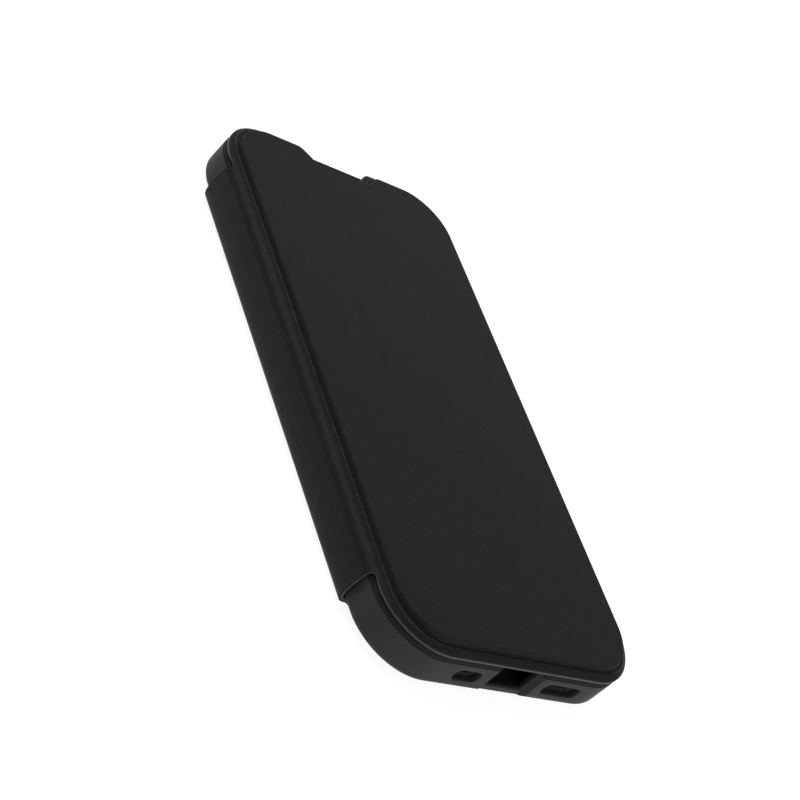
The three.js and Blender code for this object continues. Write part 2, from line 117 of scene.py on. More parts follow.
# The cover.
FLANGE_MARGIN = 2.5
PANEL_HALF_WIDTH = FLANGE_HALF_WIDTH - FLANGE_MARGIN
PANEL_HALF_LENGTH = FLANGE_HALF_LENGTH - FLANGE_MARGIN
PANEL_CORNER = 12.6
NOTCH_HALF_TOP = 14.2
NOTCH_HALF_BOTTOM = 7.65
NOTCH_DEPTH = 4.6
NOTCH_SHIFT = 0.44
RIDGE_MARGIN = 0.82
RIDGE_SWELL = 0.5
RIDGE_Z = 12.42
PANEL_SPINE_Y = 50.0

# The wrap's folds and its thicknesses.
SKIN = 0.38
SPINE_SKIN = 0.35
LINING_DEPTH = 0.95
FOLD_RADIUS = 3.2
MID_SPINE_Z = 5.95
SPINE_BOW = 0.3
CUT_ROUND = 1.1
FOLD_END_Z = 9.6
LAYER_GAP = 0.02

# The back panel.
BACK_CORNER = 11.0
BACK_SHOULDER = 2.2
BACK_RIM = 0.45

# Openings.
OPENING_Z = 5.95
SLOT_HEIGHT = 3.4
SLOT_CORNER = 1.35
SOUND_SLOTS = {"microphone": (-17.85, -10.4), "speaker": (9.8, 21.1)}
SOUND_HOLE_INSET = 0.24
SOUND_HOLE_HEIGHT = 0.9
SOUND_HOLE_CORNER = 0.4
PORT_HALF_WIDTH = 7.15
PORT_THROAT_HALF_WIDTH = 5.75
PORT_LAND = 0.22
PORT_BEVEL = 0.45
PORT_RECESS_DEPTH = 1.1
PORT_LEDGE_Z = 3.1
PORT_THROAT_CORNER = 0.5
PORT_ROUND = 0.22
MOUTH_ROUND = 0.3
BUTTON_HEIGHT = 3.4
BUTTON_GAP = 0.3
BUTTON_CORNER = 1.4
RING_WINDOW_LENGTH = 9.0
RING_WINDOW_HEIGHT = 4.8
RING_WINDOW_Y = 41.6

# How far cutters reach past a wall on its outer and on its inner side.
BEYOND = 3.0
THROUGH = 5.0

# The card pockets and their thread.
POCKET_CORNER = 4.0
THUMB_RADIUS = 9.0
THUMB_RISE = 2.0
STITCH_INSET = 1.6
STITCH_PITCH = 2.6
STITCH_LENGTH = 1.9
STITCH_THICKNESS = 0.16
STITCH_SLANT = 0.12

# Where the wrap's parts lie on the flat cloth, across it.
SPINE_PLACE = -46.0
BACK_PLACE = -92.0


# -- meshes
def place(points):
    """Design millimetres to metres in the row frame."""
    return (np.asarray(points, float) + ORIGIN) * MM


def add(name, data):
    made = bpy.data.objects.new(name, data)
    bpy.context.scene.collection.objects.link(made)
    return made


def new_piece(name, points, faces, material, pattern=None, smooth_angle=32, turn_out=False):
    """A mesh object from design points. pattern is each point's place on the flat cloth, in millimetres."""
    mesh = bpy.data.meshes.new(name)
    mesh.from_pydata(place(points).tolist(), [], [tuple(int(i) for i in face) for face in faces])
    if pattern is not None:
        layer = mesh.uv_layers.new(name="FlatPattern")
        corners = np.empty(len(mesh.loops), int)
        mesh.loops.foreach_get("vertex_index", corners)
        layer.data.foreach_set("uv", np.asarray(pattern, np.float32)[corners].ravel())
    if turn_out:
        work = bmesh.new()
        work.from_mesh(mesh)
        bmesh.ops.recalc_face_normals(work, faces=work.faces)
        work.to_mesh(mesh)
        work.free()
    mesh.materials.append(material)
    piece = add(name, mesh)
    smooth(piece, smooth_angle)
    return piece


def smooth(piece, angle):
    """Smooth shading, with edges kept sharp above that angle in degrees."""
    mesh = piece.data
    mesh.polygons.foreach_set("use_smooth", [True] * len(mesh.polygons))
    mesh.set_sharp_from_angle(angle=math.radians(angle))


def merge_coincident(points, faces):
    """The points to keep where several share one place, and the faces on them without empty ones."""
    _, keep, index = np.unique(np.round(points, 5) + 0.0, axis=0, return_index=True, return_inverse=True)
    index = index.ravel()
    merged = []
    for face in faces:
        corners = [int(index[i]) for i in face]
        corners = [corner for i, corner in enumerate(corners) if corner != corners[i - 1]]
        if len(corners) > 2:
            merged.append(tuple(corners))
    return keep, merged


def thicken(name, layers, faces, material, smooth_angle=32):
    """A closed sheet with a rim, from layers: its outer face, its inner face and its flat pattern."""
    keep, faces = merge_coincident(layers[0], faces)
    top, under, pattern = (layer[keep] for layer in layers)
    count = len(top)
    directed = {(face[i], face[(i + 1) % len(face)]) for face in faces for i in range(len(face))}
    border = sorted((a, b) for a, b in directed if (b, a) not in directed)
    solid = [tuple(face) for face in faces]
    solid += [tuple(count + i for i in reversed(face)) for face in faces]
    solid += [(b, a, a + count, b + count) for a, b in border]
    points = np.vstack((top, under))
    both = np.vstack((pattern, pattern))
    return new_piece(name, points, solid, material, both, smooth_angle, turn_out=True)


def ring_faces(rows, count):
    """Faces between neighbouring rings of count points each."""
    faces = []
    for row in range(rows - 1):
        for i in range(count):
            a = row * count + i
            b = row * count + (i + 1) % count
            faces.append((a, b, b + count, a + count))
    return faces


def capped_faces(rows, count):
    """The same, with the first and the last ring filled."""
    first = tuple(reversed(range(count)))
    last = tuple(range((rows - 1) * count, rows * count))
    return [first] + ring_faces(rows, count) + [last]


def stack(rows):
    """Points of (outline, height) rows, one ring after another."""
    return np.vstack([np.column_stack((outline, np.full(len(outline), z))) for outline, z in rows])


def loft(name, rows, material, smooth_angle=32):
    """A closed body through rows of (outline, height)."""
    faces = capped_faces(len(rows), len(rows[0][0]))
    return new_piece(name, stack(rows), faces, material, smooth_angle=smooth_angle)


def hoop_faces(rows, count):
    """Faces between neighbouring rings, and from the last ring to the first."""
    last = (rows - 1) * count
    closing = [(last + i, last + (i + 1) % count, (i + 1) % count, i) for i in range(count)]
    return ring_faces(rows, count) + closing


def hoop(name, rows, material, smooth_angle=32):
    """A closed frame: rows of (outline, height) go round its section, and the last one meets the first."""
    faces = hoop_faces(len(rows), len(rows[0][0]))
    return new_piece(name, stack(rows), faces, material, smooth_angle=smooth_angle, turn_out=True)


def carve(piece, cutters):
    """Cuts the cutters out of the piece and keeps the result as the piece's mesh."""
    for cutter in cutters:
        modifier = piece.modifiers.new("cut", "BOOLEAN")
        modifier.operation = "DIFFERENCE"
        modifier.solver = "EXACT"
        modifier.object = cutter
    graph = bpy.context.evaluated_depsgraph_get()
    mesh = bpy.data.meshes.new_from_object(piece.evaluated_get(graph))
    piece.modifiers.clear()
    piece.data = mesh
    for cutter in cutters:
        bpy.data.objects.remove(cutter)
    smooth(piece, 32)


# -- outlines, counter-clockwise from above
def arc(centre_x, centre_y, radius, start, end, steps):
    """Points of an arc between two angles in degrees."""
    angle = np.radians(np.linspace(start, end, steps + 1))
    return np.column_stack((centre_x + radius * np.cos(angle), centre_y + radius * np.sin(angle)))


def between(first, last, steps):
    """The points strictly between two others."""
    share = np.linspace(0, 1, steps + 1)[1:-1, None]
    return first * (1 - share) + last * share


def closed_outline(bends, runs):
    """The bends in order, each followed by a straight run of that many steps to the next."""
    points = []
    for i, steps in enumerate(runs):
        points += [bends[i], between(bends[i][-1], bends[(i + 1) % len(bends)][0], steps)]
    return np.vstack(points)


def rounded_rectangle(half_width, half_length, radius, corner=24, across=40, along=80):
    """corner, across and along are the steps in each corner and on each side."""
    x, y = half_width - radius, half_length - radius
    bends = [
        arc(x, -y, radius, -90, 0, corner),
        arc(x, y, radius, 0, 90, corner),
        arc(-x, y, radius, 90, 180, corner),
        arc(-x, -y, radius, 180, 270, corner),
    ]
    return closed_outline(bends, (along, across, along, across))


def tray_outline(inset):
    return rounded_rectangle(TRAY_HALF_WIDTH - inset, TRAY_HALF_LENGTH - inset, TRAY_CORNER - inset)


def phone_outline(growth):
    return rounded_rectangle(PHONE_HALF_WIDTH + growth, PHONE_HALF_LENGTH + growth, PHONE_CORNER + growth)


def camera_outline(growth):
    half = CAMERA_HALF + growth
    return rounded_rectangle(half, half, CAMERA_CORNER + growth, 20, 20, 20) + CAMERA_CENTRE


def ease(value):
    """0 to 1 with soft ends."""
    share = np.clip(value, 0, 1)
    return share * share * (3 - 2 * share)


# -- materials
class Shader:
    """A Principled material whose colour and bump come from procedural nodes."""

    def __init__(self, name, roughness, specular=0.5, metallic=0.0, sheen=0.0):
        self.material = bpy.data.materials.new(name)
        self.material.use_nodes = True
        self.tree = self.material.node_tree
        self.surface = self.tree.nodes["Principled BSDF"]
        inputs = self.surface.inputs
        inputs["Roughness"].default_value = roughness
        inputs["Specular IOR Level"].default_value = specular
        inputs["Metallic"].default_value = metallic
        inputs["Sheen Weight"].default_value = sheen
        self.bumped = None

    def node(self, kind, **settings):
        made = self.tree.nodes.new("ShaderNode" + kind)
        for key, value in settings.items():
            setattr(made, key, value)
        return made

    def join(self, output, target):
        self.tree.links.new(output, target)

    def math(self, operation, *values):
        """A sum on one or two values, each one a number or another node's output."""
        made = self.node("Math", operation=operation)
        for socket, value in zip(made.inputs, values):
            if isinstance(value, (int, float)):
                socket.default_value = value
            else:
                self.join(value, socket)
        return made.outputs[0]

    def place(self):
        return self.node("TexCoord").outputs["Object"]

    def cloth(self):
        """The two places on the flat cloth, across and along, in millimetres."""
        split = self.node("SeparateXYZ")
        self.join(self.node("UVMap", uv_map="FlatPattern").outputs["UV"], split.inputs[0])
        return split.outputs["X"], split.outputs["Y"]

    def noise(self, size, detail=3.0, vector=None):
        """Noise with features of about that size in millimetres, between 0 and 1."""
        made = self.node("TexNoise")
        made.inputs["Scale"].default_value = 1 / (size * MM)
        made.inputs["Detail"].default_value = detail
        self.join(vector or self.place(), made.inputs["Vector"])
        return made.outputs["Fac"]

    def wave(self, distance, pitch, phase=None):
        """A sine along the distance, which repeats every pitch millimetres."""
        turned = self.math("MULTIPLY", distance, 2 * math.pi / pitch)
        if phase is not None:
            turned = self.math("ADD", turned, phase)
        return self.math("SINE", turned)

    def colours(self, factor, dark, light, low=0.35, high=0.65):
        ramp = self.node("ValToRGB")
        for element, position, colour in zip(ramp.color_ramp.elements, (low, high), (dark, light)):
            element.position = position
            element.color = (*colour, 1)
        self.join(factor, ramp.inputs["Fac"])
        self.join(ramp.outputs["Color"], self.surface.inputs["Base Color"])

    def vary_roughness(self, factor, low, high):
        mapped = self.node("MapRange")
        mapped.inputs["To Min"].default_value = low
        mapped.inputs["To Max"].default_value = high
        self.join(factor, mapped.inputs["Value"])
        self.join(mapped.outputs["Result"], self.surface.inputs["Roughness"])

    def relief(self, factor, depth, strength=1.0):
        """Adds a bump whose full height is depth millimetres."""
        bump = self.node("Bump")
        bump.inputs["Distance"].default_value = depth * MM
        bump.inputs["Strength"].default_value = strength
        self.join(factor, bump.inputs["Height"])
        if self.bumped is not None:
            self.join(self.bumped, bump.inputs["Normal"])
        self.bumped = bump.outputs["Normal"]
        self.join(self.bumped, self.surface.inputs["Normal"])


def grey(level, blue=0.0):
    """A neutral colour, with that share more blue than red."""
    return (level, level * (1 + blue / 2), level * (1 + blue))


def woven_skin(name, dark, light, relief_depth, roughness=0.45, specular=0.055):
    """Coated cloth: fine ribs across the wrap, each one crossed by its threads."""
    rib_pitch, thread_pitch = 0.5, 0.42
    rib_weight, thread_weight = 0.5, 0.12
    shader = Shader(name, roughness=roughness, specular=specular)
    across, along = shader.cloth()
    row = shader.math("FLOOR", shader.math("DIVIDE", along, rib_pitch))
    stagger = shader.math("MULTIPLY", row, math.pi)
    ribs = shader.math("MULTIPLY", shader.wave(along, rib_pitch), rib_weight)
    threads = shader.math("MULTIPLY", shader.wave(across, thread_pitch, stagger), thread_weight)
    weave = shader.math("ADD", ribs, threads)
    shader.relief(shader.noise(size=9, detail=2), depth=0.05, strength=0.35)
    shader.relief(weave, relief_depth)
    shader.relief(shader.noise(size=0.12, detail=2), depth=0.006)
    shader.colours(shader.noise(size=3.5), dark, light)
    return shader.material


def moulded_plastic(name, dark, light, roughness, specular, grain=0.16, depth=0.004):
    """Satin plastic with a fine spark-eroded grain."""
    shader = Shader(name, roughness=roughness, specular=specular)
    shader.relief(shader.noise(grain, detail=2), depth)
    shader.relief(shader.noise(size=14, detail=1), depth=0.03, strength=0.2)
    shader.colours(shader.noise(size=6), dark, light)
    shader.vary_roughness(shader.noise(size=2.5), low=roughness - 0.03, high=roughness + 0.04)
    return shader.material


def brushed_cloth(name, dark, light):
    shader = Shader(name, roughness=0.95, specular=0.15, sheen=0.25)
    shader.relief(shader.noise(size=0.22, detail=4), depth=0.03)
    shader.colours(shader.noise(size=0.5, detail=5), dark, light, low=0.3, high=0.7)
    return shader.material


def pressed_board(name, dark, light):
    shader = Shader(name, roughness=0.9, specular=0.2)
    shader.relief(shader.noise(size=0.3, detail=5), depth=0.02)
    shader.colours(shader.noise(size=0.7, detail=6), dark, light)
    return shader.material


def foam(name, dark, light):
    """Closed-cell foam, and the foam-backed adhesive."""
    cell_size = 0.45
    shader = Shader(name, roughness=1.0, specular=0.1)
    cells = shader.node("TexVoronoi")
    cells.inputs["Scale"].default_value = 1 / (cell_size * MM)
    shader.join(shader.place(), cells.inputs["Vector"])
    shader.relief(cells.outputs["Distance"], depth=0.08)
    shader.colours(cells.outputs["Distance"], dark, light, low=0.1, high=0.6)
    return shader.material


def plated_magnet(name, dark, light):
    shader = Shader(name, roughness=0.3, metallic=1.0)
    shader.relief(shader.noise(size=0.4), depth=0.004)
    shader.colours(shader.noise(size=2), dark, light)
    shader.vary_roughness(shader.noise(size=1.2), low=0.25, high=0.4)
    return shader.material


SKIN_MATERIAL = woven_skin("wrap_skin", grey(0.0122), grey(0.0136), relief_depth=0.026)
# The ridge bead wears the wrap's own cloth with its colour painted lighter than the skin, a painted
# highlight, and with real extra gloss.
HIGHLIT_RIDGE_MATERIAL = woven_skin(
    "ridge_skin_painted_highlight", grey(0.018), grey(0.022), relief_depth=0.02, roughness=0.3, specular=0.5
)
POCKET_MATERIAL = woven_skin("pocket_skin", grey(0.014), grey(0.017), relief_depth=0.02)
LINING_MATERIAL = brushed_cloth("wrap_lining", grey(0.031, blue=0.25), grey(0.041, blue=0.25))
SHELL_MATERIAL = moulded_plastic(
    "shell_plastic", grey(0.027), grey(0.0295), roughness=0.5, specular=0.07
)
BUMPER_MATERIAL = moulded_plastic(
    "bumper_rubber", grey(0.0145), grey(0.016), roughness=0.58, specular=0.045, grain=0.22, depth=0.007
)
PAD_MATERIAL = brushed_cloth("pad_cloth", grey(0.020), grey(0.032))
THREAD_MATERIAL = brushed_cloth("pocket_thread", grey(0.02), grey(0.035))
BOARD_MATERIAL = pressed_board("pressed_board", (0.10, 0.08, 0.06), (0.17, 0.14, 0.10))
FOAM_MATERIAL = foam("cover_foam", grey(0.12), grey(0.22))
ADHESIVE_MATERIAL = foam("adhesive_film", (0.045, 0.042, 0.036), (0.06, 0.056, 0.048))
MAGNET_MATERIAL = plated_magnet("plated_magnet", (0.42, 0.43, 0.45), (0.55, 0.56, 0.58))


# -- openings in the tray's walls
def bar_through(name, sections):
    faces = capped_faces(len(sections), len(sections[0]))
    return new_piece(name, np.vstack(sections), faces, SHELL_MATERIAL, turn_out=True)


def wall_bar(name, axis, centre, size, radius, rows):
    """A bar along the x (0) or y (1) axis, round a centre (across, z). rows hold (place, growth)."""
    sections = []
    for place_on_axis, growth in rows:
        half_length, half_height = np.array(size) / 2 + growth
        outline = rounded_rectangle(half_length, half_height, max(radius + growth, 0.1), 8, 16, 4)
        sections.append(np.insert(outline + centre, axis, place_on_axis, axis=1))
    return bar_through(name, sections)


def mouth_rows(wall, outward):
    """Rows of a cutter from outside the wall inwards: a rounded mouth, then straight on."""
    rows = [(wall + outward * BEYOND, MOUTH_ROUND)]
    for growth, depth in quarter(MOUTH_ROUND, 4):
        rows.append((wall - outward * depth, growth))
    rows.append((wall - outward * THROUGH, 0))
    return rows


def wall_window(name, side, centre_y, length, height):
    """A window in one of the shell's long walls."""
    rows = mouth_rows(side * TRAY_HALF_WIDTH, side)
    return wall_bar(name, 0, (centre_y, OPENING_Z), (length, height), BUTTON_CORNER, rows)


def port_recess():
    """The wide, slant-sided recess round the charging port, open to the back and to the top."""
    wall = -TRAY_HALF_LENGTH
    side = [(PORT_HALF_WIDTH + PORT_ROUND, wall - BEYOND)]
    for angle in np.linspace(0, math.pi / 3, 4):
        x = PORT_HALF_WIDTH + PORT_ROUND * (1 - math.sin(angle))
        side.append((x, wall + PORT_ROUND * (1 - math.cos(angle))))
    side.append((PORT_THROAT_HALF_WIDTH + PORT_BEVEL + PORT_LAND, wall + PORT_RECESS_DEPTH))
    outline = np.array(side + [(-x, y) for x, y in reversed(side)])
    rows = [(outline, SHELL_BACK_Z - BEYOND), (outline, LIP_TOP_Z + BEYOND)]
    return loft("port_recess", rows, SHELL_MATERIAL)


def port_throat():
    """The opening behind the recess, with a bevelled frame and a ledge under it."""
    recess_floor = -TRAY_HALF_LENGTH + PORT_RECESS_DEPTH
    top = LIP_TOP_Z + BEYOND
    rows = (
        (recess_floor - PORT_BEVEL, PORT_BEVEL),
        (recess_floor, PORT_BEVEL),
        (recess_floor + PORT_BEVEL, 0),
        (recess_floor + THROUGH, 0),
    )
    sections = []
    for y, growth in rows:
        low = PORT_LEDGE_Z - growth
        half_width = PORT_THROAT_HALF_WIDTH + growth
        outline = rounded_rectangle(half_width, (top - low) / 2, PORT_THROAT_CORNER, 6, 12, 12)
        z = outline[:, 1] + (top + low) / 2
        sections.append(np.column_stack((outline[:, 0], np.full(len(z), y), z)))
    return bar_through("port_throat", sections)


def button_window(node, side):
    low, high = span(node)
    length = high[1] - low[1] + 2 * BUTTON_GAP
    height = BUTTON_HEIGHT + 2 * BUTTON_GAP
    return wall_window(node + "_window", side, (low[1] + high[1]) / 2, length, height)


def sound_bars(inset_share, height, radius, rows):
    """Bars through the bottom end at the sound slots, shorter at each end by that share."""
    bars = []
    for name, (first, last) in SOUND_SLOTS.items():
        length = (last - first) * (1 - 2 * inset_share)
        centre = ((first + last) / 2, OPENING_Z)
        bars.append(wall_bar(name, 1, centre, (length, height), radius, rows))
    return bars


def wall_cutters():
    """The openings that the shell and the bumper share."""
    return [
        port_recess(),
        port_throat(),
        button_window("volume_up_button", -1),
        button_window("volume_down_button", -1),
        button_window("side_button", 1),
        wall_window("ring_window", -1, RING_WINDOW_Y, RING_WINDOW_LENGTH, RING_WINDOW_HEIGHT),
    ]


# -- tray
def quarter(radius, steps=6):
    """Pairs (inwards, upwards) round a quarter circle, from flat underneath to upright."""
    angles = np.linspace(0, math.pi / 2, steps + 1)
    return [(radius * (1 - math.sin(a)), radius * (1 - math.cos(a))) for a in angles]


def outer_shell():
    """The hard tray: rolled back edge, upright walls and a level rim."""
    rows = [(tray_outline(inwards), SHELL_BACK_Z + up) for inwards, up in quarter(BACK_EDGE_RADIUS, 12)]
    for inwards, up in reversed(quarter(RIM_ROUND, 4)):
        rows.append((tray_outline(inwards), RIM_Z - up))
    rows.append((tray_outline(SHELL_WALL), RIM_Z))
    rows.append((tray_outline(SHELL_WALL), PAD_TOP_Z))
    shell = loft("tray_shell", rows, SHELL_MATERIAL)
    camera = loft("camera_hole", [(camera_outline(0), -1), (camera_outline(0), RIM_Z)], SHELL_MATERIAL)
    bed = phone_outline(-PAD_INSET)
    pad_bed = loft("pad_bed", [(bed, PAD_LOW_Z - FIT_GAP / 2), (bed, RIM_Z)], SHELL_MATERIAL)
    slots = sound_bars(0, SLOT_HEIGHT, SLOT_CORNER, mouth_rows(-TRAY_HALF_LENGTH, -1))
    carve(shell, [camera, pad_bed] + wall_cutters() + slots)
    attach(shell, "tray")
    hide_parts("outer_shell")


def screen_bumper():
    """The soft bumper inside the shell, with its rounded lip over the shell's rim and the phone's glass."""
    wall = SHELL_WALL + FIT_GAP
    low = RIM_Z + RIM_SEAM
    foot = PAD_TOP_Z + FIT_GAP / 2
    lip_step, lip_start, inner_edge, inner_round = 0.1, 0.06, 0.25, 0.07
    rows = [
        (tray_outline(wall), foot),
        (tray_outline(wall), low),
        (tray_outline(LIP_INSET + lip_step), low),
    ]
    for angle in np.linspace(0, math.pi / 2, 10):
        inwards = LIP_INSET + LIP_WIDTH * (1 - math.cos(angle))
        rise = (LIP_TOP_Z - low - lip_start) * math.sin(angle)
        rows.append((tray_outline(inwards), low + lip_start + rise))
    rows += [
        (phone_outline(inner_edge - LIP_OVER_GLASS), LIP_TOP_Z),
        (phone_outline(inner_round - LIP_OVER_GLASS), LIP_TOP_Z - inner_round),
        (phone_outline(-LIP_OVER_GLASS), LIP_TOP_Z - inner_edge),
        (phone_outline(-LIP_OVER_GLASS), GLASS_Z),
        (phone_outline(PHONE_SLACK), GLASS_Z),
        (phone_outline(PHONE_SLACK), foot),
    ]
    bumper = hoop("tray_bumper", rows, BUMPER_MATERIAL)
    ends = [(-TRAY_HALF_LENGTH - BEYOND, 0), (-TRAY_HALF_LENGTH + THROUGH, 0)]
    holes = sound_bars(SOUND_HOLE_INSET, SOUND_HOLE_HEIGHT, SOUND_HOLE_CORNER, ends)
    carve(bumper, wall_cutters() + holes)
    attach(bumper, "tray")
    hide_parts("screen_bumper")


def tray_pad():
    shoulder = PAD_EDGE / 3
    profile = [(0, PAD_LOW_Z), (0, PAD_TOP_Z - PAD_EDGE)]
    profile += [(shoulder, PAD_TOP_Z - shoulder), (PAD_EDGE, PAD_TOP_Z)]
    rows = [(phone_outline(-PAD_INSET - FIT_GAP - inset), z) for inset, z in profile]
    pad = loft("tray_pad_cloth", rows, PAD_MATERIAL)
    hole_edge = camera_outline(BEZEL_WALL)
    hole = loft("pad_hole", [(hole_edge, 0), (hole_edge, RIM_Z)], PAD_MATERIAL)
    carve(pad, [hole])
    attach(pad, "tray")
    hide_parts("tray_pad")


def camera_bezel():
    """A collar through the shell with a rolled flange on the back."""
    low, high = BEZEL_LOW[2], BEZEL_HIGH[2]
    flange_top = SHELL_BACK_Z - FIT_GAP
    profile = [(-BEZEL_WALL, low + 0.3), (-BEZEL_WALL + 0.09, low + 0.09), (-BEZEL_WALL + 0.3, low)]
    profile += [(BEZEL_FLANGE - 0.5, low), (BEZEL_FLANGE - 0.15, low + 0.12), (BEZEL_FLANGE, low + 0.4)]
    profile += [(BEZEL_FLANGE, flange_top), (-FIT_GAP, flange_top), (-FIT_GAP, high - 0.15)]
    profile += [(-FIT_GAP - 0.15, high), (-BEZEL_WALL + 0.15, high), (-BEZEL_WALL, high - 0.15)]
    rows = [(camera_outline(growth), z) for growth, z in profile]
    bezel = hoop("camera_collar", rows, SHELL_MATERIAL, smooth_angle=40)
    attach(bezel, "tray")
    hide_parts("camera_bezel")


def button(node, side):
    """A pill-shaped button with a rolled face and a shallow dish along its middle."""
    low, high = span(node)
    inner, outer = (high[0], low[0]) if side < 0 else (low[0], high[0])
    edge = 0.35
    rows = [(inner, 0)]
    for angle in np.linspace(0, 1.4, 6):
        rows.append((outer - side * edge * (1 - math.sin(angle)), -edge * (1 - math.cos(angle))))
    rows += [(outer - side * 0.03, -edge - 0.35), (outer - side * 0.09, -edge - 0.8)]
    size = (high - low)[1:]
    radius = size[1] / 2 - 0.15
    made = wall_bar(node.replace("_button", "_key"), 0, (low + high)[1:] / 2, size, radius, rows)
    made.data.materials[0] = BUMPER_MATERIAL
    smooth(made, 50)
    return made


def buttons():
    for node, side, body in (
        ("volume_up_button", -1, "volume_up"),
        ("volume_down_button", -1, "volume_down"),
        ("side_button", 1, "side_key"),
    ):
        key = button(node, side)
        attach(key, body)
        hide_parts(node)


# -- the wrap's flat pattern
CORNER_STEPS = 48
SIDE_STEPS = 232
END_STEPS = 78
SHOULDER_STEPS = 12
NOTCH_STEPS = 26
NOTCH_FLOOR_STEPS = 28
EAR_RUN_STEPS = 6


def notch_side(margin):
    """The notch's right side, from its floor up to the top edge."""
    along = np.linspace(0, 1, NOTCH_STEPS + 1)
    x = NOTCH_HALF_BOTTOM - NOTCH_SHIFT * margin + (NOTCH_HALF_TOP - NOTCH_HALF_BOTTOM) * along
    y = PANEL_HALF_LENGTH + margin - NOTCH_DEPTH * (1 + np.cos(math.pi * along)) / 2
    return np.column_stack((x, y))


def cover_outline(margin):
    """The cover's outline, that far outside the raised panel's edge."""
    radius = PANEL_CORNER + margin
    x = PANEL_HALF_WIDTH - PANEL_CORNER
    y = PANEL_HALF_LENGTH - PANEL_CORNER
    right = notch_side(margin)[::-1]
    left = right[::-1] * (-1, 1)
    edge = -PANEL_HALF_WIDTH - margin
    bends = [
        arc(x, -y, radius, -90, 0, CORNER_STEPS),
        arc(x, y, radius, 0, 90, CORNER_STEPS),
        right,
        left,
        arc(-x, y, radius, 90, 180, CORNER_STEPS),
        np.array(((edge, SPINE_HALF_LENGTH),)),
        np.array(((edge, -SPINE_HALF_LENGTH),)),
        arc(-x, -y, radius, 180, 270, CORNER_STEPS),
    ]
    runs = (
        SIDE_STEPS, SHOULDER_STEPS, NOTCH_FLOOR_STEPS, SHOULDER_STEPS,
        EAR_RUN_STEPS, SIDE_STEPS, EAR_RUN_STEPS, END_STEPS,
    )
    return closed_outline(bends, runs)


COVER_BASE = cover_outline(0)
COVER_OUTWARD = cover_outline(1) - COVER_BASE
COVER_COUNT = len(COVER_BASE)

# 1 in the middle of each round corner, 0 along the straight sides and in the notch.
CORNER_SHARE = (2 * COVER_OUTWARD[:, 0] * COVER_OUTWARD[:, 1]) ** 2
CORNER_SHARE[np.linalg.norm(COVER_OUTWARD, axis=1) > 1.01] = 0


# Index of the point where the spine begins on the cover's edge, at its upper end.
SIDE_START = int(np.argmin(np.abs(COVER_BASE - (-PANEL_HALF_WIDTH, SPINE_HALF_LENGTH)).max(axis=1)))
EAR_STEPS = 2
EAR_REACH = 5.0

# Points of the last ring that the wrap's spine part grows from, both ears included.
STRIP_COLUMNS = (SIDE_START - EAR_STEPS + np.arange(SIDE_STEPS + 1 + 2 * EAR_STEPS)) % COVER_COUNT

# 1 along the cover's spine side, falling to 0 a few millimetres round each corner.
FLANGE_EDGE = COVER_BASE + FLANGE_MARGIN * COVER_OUTWARD
SPINE_SHARE = 1 - ease((np.abs(FLANGE_EDGE[:, 1]) - SPINE_HALF_LENGTH) / EAR_REACH)
SPINE_SHARE[FLANGE_EDGE[:, 0] > 0] = 0


def bezier(points, steps):
    """A cubic curve from the first to the last point."""
    t = np.linspace(0, 1, steps + 1)[:, None]
    a, b, c, d = (np.array(point, float) for point in points)
    return a * (1 - t) ** 3 + 3 * b * t * (1 - t) ** 2 + 3 * c * t ** 2 * (1 - t) + d * t ** 3


class Fold:
    """A cross-section of the wrap in the x-z plane, measured by its length along the outer face."""

    def __init__(self, path):
        self.path = np.asarray(path, float)
        steps = np.linalg.norm(np.diff(self.path, axis=0), axis=1)
        self.length = np.concatenate(([0], np.cumsum(steps)))
        slope = np.gradient(self.path, self.length, axis=0)
        slope /= np.linalg.norm(slope, axis=1)[:, None]
        self.inward = np.column_stack((-slope[:, 1], slope[:, 0]))

    def at(self, distance, depth=0.0):
        """The point that far along, and that deep under the outer face."""
        point, inward = (
            np.column_stack([np.interp(distance, self.length, values[:, i]) for i in (0, 1)])
            for values in (self.path, self.inward)
        )
        return point + inward * np.reshape(depth, (-1, 1))

    def row(self, distance, y, depth):
        """The points with those y at one distance. depth is a number, or a function of y."""
        depths = depth(y) if callable(depth) else depth
        point = self.at(np.full(len(y), distance), depths)
        return np.column_stack((point[:, 0], y, point[:, 1]))


RIDGE_FOOT_X = -(PANEL_HALF_WIDTH + RIDGE_MARGIN + 0.13)
RIDGE_FOOT_Z = RIDGE_Z - 0.05
MID_SPINE = (SPINE_X - SPINE_BOW, MID_SPINE_Z)
FACET_TOP = (-38.155, 11.71)
FACET_FOOT = (-38.57, 11.386)
FOLD_END = (SPINE_X + 0.08, FOLD_END_Z)
FRONT_CURVE = np.vstack((
    bezier(((RIDGE_FOOT_X, RIDGE_FOOT_Z), (-36.95, 12.33), (-37.8, 11.99), FACET_TOP), 14),
    bezier((FACET_FOOT, (-39.0, 11.05), (-39.55, 10.3), FOLD_END), 16),
))
FRONT_BOW = bezier((FOLD_END, (SPINE_X - 0.04, 8.4), (MID_SPINE[0], 7.2), MID_SPINE), 12)
FRONT_FOLD = Fold(np.vstack((FRONT_CURVE, FRONT_BOW[1:])))
FRONT_BEND_LENGTH = FRONT_FOLD.length[len(FRONT_CURVE) - 1]

